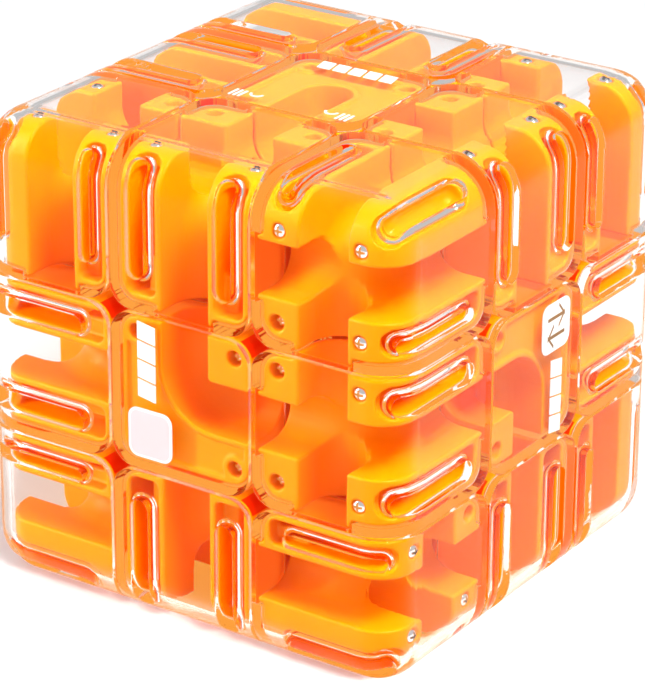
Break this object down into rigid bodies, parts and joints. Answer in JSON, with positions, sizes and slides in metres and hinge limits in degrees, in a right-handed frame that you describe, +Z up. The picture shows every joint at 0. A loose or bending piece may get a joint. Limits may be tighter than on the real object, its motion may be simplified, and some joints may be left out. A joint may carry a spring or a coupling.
{
  "type": "3d maze ball puzzle",
  "caption": "Turning cube puzzle of clear-covered maze blocks round a six-armed core, with a steel ball that rolls in channels which line up as the layers turn.",
  "frame": {"origin": "the middle of the cube, where the three turning axes cross", "axes": "+Z up, -Y out of the front face, +X out of the right face; each face turns about the axis through its centre"},
  "size_m": [0.069, 0.069, 0.069],
  "materials": {
    "orange_moulding": "moulded orange plastic, satin gloss",
    "clear_cover": "clear moulded plastic, polished",
    "screw_steel": "bright plated screw",
    "ball_steel": "polished steel ball",
    "core_plastic": "plain moulded red-orange plastic",
    "white_mark": "white printed and moulded marks"
  },
  "bodies": {
    "core": {"core": "core_plastic", "up_axle_screw": "screw_steel", "down_axle_screw": "screw_steel", "front_axle_screw": "screw_steel", "back_axle_screw": "screw_steel", "right_axle_screw": "screw_steel", "left_axle_screw": "screw_steel"},
    "up_centre": {"up_centre_tray": "orange_moulding", "up_centre_cover": "clear_cover"},
    "down_centre": {"down_centre_tray": "orange_moulding", "down_centre_cover": "clear_cover"},
    "front_centre": {"front_centre_tray": "orange_moulding", "front_centre_cover": "clear_cover"},
    "back_centre": {"back_centre_tray": "orange_moulding", "back_centre_cover": "clear_cover"},
    "right_centre": {"right_centre_tray": "orange_moulding", "right_centre_cover": "clear_cover"},
    "left_centre": {"left_centre_tray": "orange_moulding", "left_centre_cover": "clear_cover"},
    "up_front_edge": {"up_front_edge_tray": "orange_moulding", "up_front_edge_cover": "clear_cover"},
    "up_right_edge": {"up_right_edge_tray": "orange_moulding", "up_right_edge_cover": "clear_cover"},
    "up_left_edge": {"up_left_edge_tray": "orange_moulding", "up_left_edge_cover": "clear_cover"},
    "up_back_edge": {"up_back_edge_tray": "orange_moulding", "up_back_edge_cover": "clear_cover"},
    "front_right_edge": {"front_right_edge_tray": "orange_moulding", "front_right_edge_cover": "clear_cover"},
    "front_left_edge": {"front_left_edge_tray": "orange_moulding", "front_left_edge_cover": "clear_cover"},
    "back_right_edge": {"back_right_edge_tray": "orange_moulding", "back_right_edge_cover": "clear_cover"},
    "back_left_edge": {"back_left_edge_tray": "orange_moulding", "back_left_edge_cover": "clear_cover"},
    "down_front_edge": {"down_front_edge_tray": "orange_moulding", "down_front_edge_cover": "clear_cover"},
    "down_right_edge": {"down_right_edge_tray": "orange_moulding", "down_right_edge_cover": "clear_cover"},
    "down_left_edge": {"down_left_edge_tray": "orange_moulding", "down_left_edge_cover": "clear_cover"},
    "down_back_edge": {"down_back_edge_tray": "orange_moulding", "down_back_edge_cover": "clear_cover"},
    "up_front_right_corner": {"up_front_right_corner_tray": "orange_moulding", "up_front_right_corner_cover": "clear_cover"},
    "up_front_left_corner": {"up_front_left_corner_tray": "orange_moulding", "up_front_left_corner_cover": "clear_cover"},
    "up_back_right_corner": {"up_back_right_corner_tray": "orange_moulding", "up_back_right_corner_cover": "clear_cover"},
    "up_back_left_corner": {"up_back_left_corner_tray": "orange_moulding", "up_back_left_corner_cover": "clear_cover"},
    "down_front_right_corner": {"down_front_right_corner_tray": "orange_moulding", "down_front_right_corner_cover": "clear_cover"},
    "down_front_left_corner": {"down_front_left_corner_tray": "orange_moulding", "down_front_left_corner_cover": "clear_cover"},
    "down_back_right_corner": {"down_back_right_corner_tray": "orange_moulding", "down_back_right_corner_cover": "clear_cover"},
    "down_back_left_corner": {"down_back_left_corner_tray": "orange_moulding", "down_back_left_corner_cover": "clear_cover"},
    "ball": {"steel_ball": "ball_steel"}
  },
  "joints": [
    {"name": "up_turn", "type": "hinge", "parent": "core", "child": "up_centre", "pos_m": [0, 0, 0], "axis": [0, 0, 1], "continuous": true},
    {"name": "down_turn", "type": "hinge", "parent": "core", "child": "down_centre", "pos_m": [0, 0, 0], "axis": [0, 0, 1], "continuous": true},
    {"name": "front_turn", "type": "hinge", "parent": "core", "child": "front_centre", "pos_m": [0, 0, 0], "axis": [0, 1, 0], "continuous": true},
    {"name": "back_turn", "type": "hinge", "parent": "core", "child": "back_centre", "pos_m": [0, 0, 0], "axis": [0, 1, 0], "continuous": true},
    {"name": "right_turn", "type": "hinge", "parent": "core", "child": "right_centre", "pos_m": [0, 0, 0], "axis": [1, 0, 0], "continuous": true},
    {"name": "left_turn", "type": "hinge", "parent": "core", "child": "left_centre", "pos_m": [0, 0, 0], "axis": [1, 0, 0], "continuous": true},
    {"name": "up_front_edge_with_front", "type": "hinge", "parent": "up_centre", "child": "up_front_edge", "pos_m": [0, 0, 0], "axis": [0, 1, 0], "continuous": true},
    {"name": "up_right_edge_with_up", "type": "hinge", "parent": "right_centre", "child": "up_right_edge", "pos_m": [0, 0, 0], "axis": [0, 0, 1], "continuous": true},
    {"name": "up_left_edge_with_up", "type": "hinge", "parent": "left_centre", "child": "up_left_edge", "pos_m": [0, 0, 0], "axis": [0, 0, 1], "continuous": true},
    {"name": "up_back_edge_with_back", "type": "hinge", "parent": "up_centre", "child": "up_back_edge", "pos_m": [0, 0, 0], "axis": [0, 1, 0], "continuous": true},
    {"name": "front_right_edge_with_right", "type": "hinge", "parent": "front_centre", "child": "front_right_edge", "pos_m": [0, 0, 0], "axis": [1, 0, 0], "continuous": true},
    {"name": "front_left_edge_with_left", "type": "hinge", "parent": "front_centre", "child": "front_left_edge", "pos_m": [0, 0, 0], "axis": [1, 0, 0], "continuous": true},
    {"name": "back_right_edge_with_right", "type": "hinge", "parent": "back_centre", "child": "back_right_edge", "pos_m": [0, 0, 0], "axis": [1, 0, 0], "continuous": true},
    {"name": "back_left_edge_with_left", "type": "hinge", "parent": "back_centre", "child": "back_left_edge", "pos_m": [0, 0, 0], "axis": [1, 0, 0], "continuous": true},
    {"name": "down_front_edge_with_front", "type": "hinge", "parent": "down_centre", "child": "down_front_edge", "pos_m": [0, 0, 0], "axis": [0, 1, 0], "continuous": true},
    {"name": "down_right_edge_with_down", "type": "hinge", "parent": "right_centre", "child": "down_right_edge", "pos_m": [0, 0, 0], "axis": [0, 0, 1], "continuous": true},
    {"name": "down_left_edge_with_down", "type": "hinge", "parent": "left_centre", "child": "down_left_edge", "pos_m": [0, 0, 0], "axis": [0, 0, 1], "continuous": true},
    {"name": "down_back_edge_with_back", "type": "hinge", "parent": "down_centre", "child": "down_back_edge", "pos_m": [0, 0, 0], "axis": [0, 1, 0], "continuous": true},
    {"name": "up_front_right_corner_with_right", "type": "hinge", "parent": "up_front_edge", "child": "up_front_right_corner", "pos_m": [0, 0, 0], "axis": [1, 0, 0], "continuous": true},
    {"name": "up_front_left_corner_with_left", "type": "hinge", "parent": "up_front_edge", "child": "up_front_left_corner", "pos_m": [0, 0, 0], "axis": [1, 0, 0], "continuous": true},
    {"name": "up_back_right_corner_with_right", "type": "hinge", "parent": "up_back_edge", "child": "up_back_right_corner", "pos_m": [0, 0, 0], "axis": [1, 0, 0], "continuous": true},
    {"name": "up_back_left_corner_with_left", "type": "hinge", "parent": "up_back_edge", "child": "up_back_left_corner", "pos_m": [0, 0, 0], "axis": [1, 0, 0], "continuous": true},
    {"name": "down_front_right_corner_with_right", "type": "hinge", "parent": "down_front_edge", "child": "down_front_right_corner", "pos_m": [0, 0, 0], "axis": [1, 0, 0], "continuous": true},
    {"name": "down_front_left_corner_with_left", "type": "hinge", "parent": "down_front_edge", "child": "down_front_left_corner", "pos_m": [0, 0, 0], "axis": [1, 0, 0], "continuous": true},
    {"name": "down_back_right_corner_with_right", "type": "hinge", "parent": "down_back_edge", "child": "down_back_right_corner", "pos_m": [0, 0, 0], "axis": [1, 0, 0], "continuous": true},
    {"name": "down_back_left_corner_with_left", "type": "hinge", "parent": "down_back_edge", "child": "down_back_left_corner", "pos_m": [0, 0, 0], "axis": [1, 0, 0], "continuous": true},
    {"name": "ball_roll", "type": "slide", "parent": "down_back_edge", "child": "ball", "axis": [0, 0, 1], "range_m": [0, 0.0135]}
  ],
  "couplings": [
    {"joint": "up_front_edge_with_front", "follows": "front_turn", "ratio": 1},
    {"joint": "up_right_edge_with_up", "follows": "up_turn", "ratio": 1},
    {"joint": "up_left_edge_with_up", "follows": "up_turn", "ratio": 1},
    {"joint": "up_back_edge_with_back", "follows": "back_turn", "ratio": 1},
    {"joint": "front_right_edge_with_right", "follows": "right_turn", "ratio": 1},
    {"joint": "front_left_edge_with_left", "follows": "left_turn", "ratio": 1},
    {"joint": "back_right_edge_with_right", "follows": "right_turn", "ratio": 1},
    {"joint": "back_left_edge_with_left", "follows": "left_turn", "ratio": 1},
    {"joint": "down_front_edge_with_front", "follows": "front_turn", "ratio": 1},
    {"joint": "down_right_edge_with_down", "follows": "down_turn", "ratio": 1},
    {"joint": "down_left_edge_with_down", "follows": "down_turn", "ratio": 1},
    {"joint": "down_back_edge_with_back", "follows": "back_turn", "ratio": 1},
    {"joint": "up_front_right_corner_with_right", "follows": "right_turn", "ratio": 1},
    {"joint": "up_front_left_corner_with_left", "follows": "left_turn", "ratio": 1},
    {"joint": "up_back_right_corner_with_right", "follows": "right_turn", "ratio": 1},
    {"joint": "up_back_left_corner_with_left", "follows": "left_turn", "ratio": 1},
    {"joint": "down_front_right_corner_with_right", "follows": "right_turn", "ratio": 1},
    {"joint": "down_front_left_corner_with_left", "follows": "left_turn", "ratio": 1},
    {"joint": "down_back_right_corner_with_right", "follows": "right_turn", "ratio": 1},
    {"joint": "down_back_left_corner_with_left", "follows": "left_turn", "ratio": 1}
  ]
}
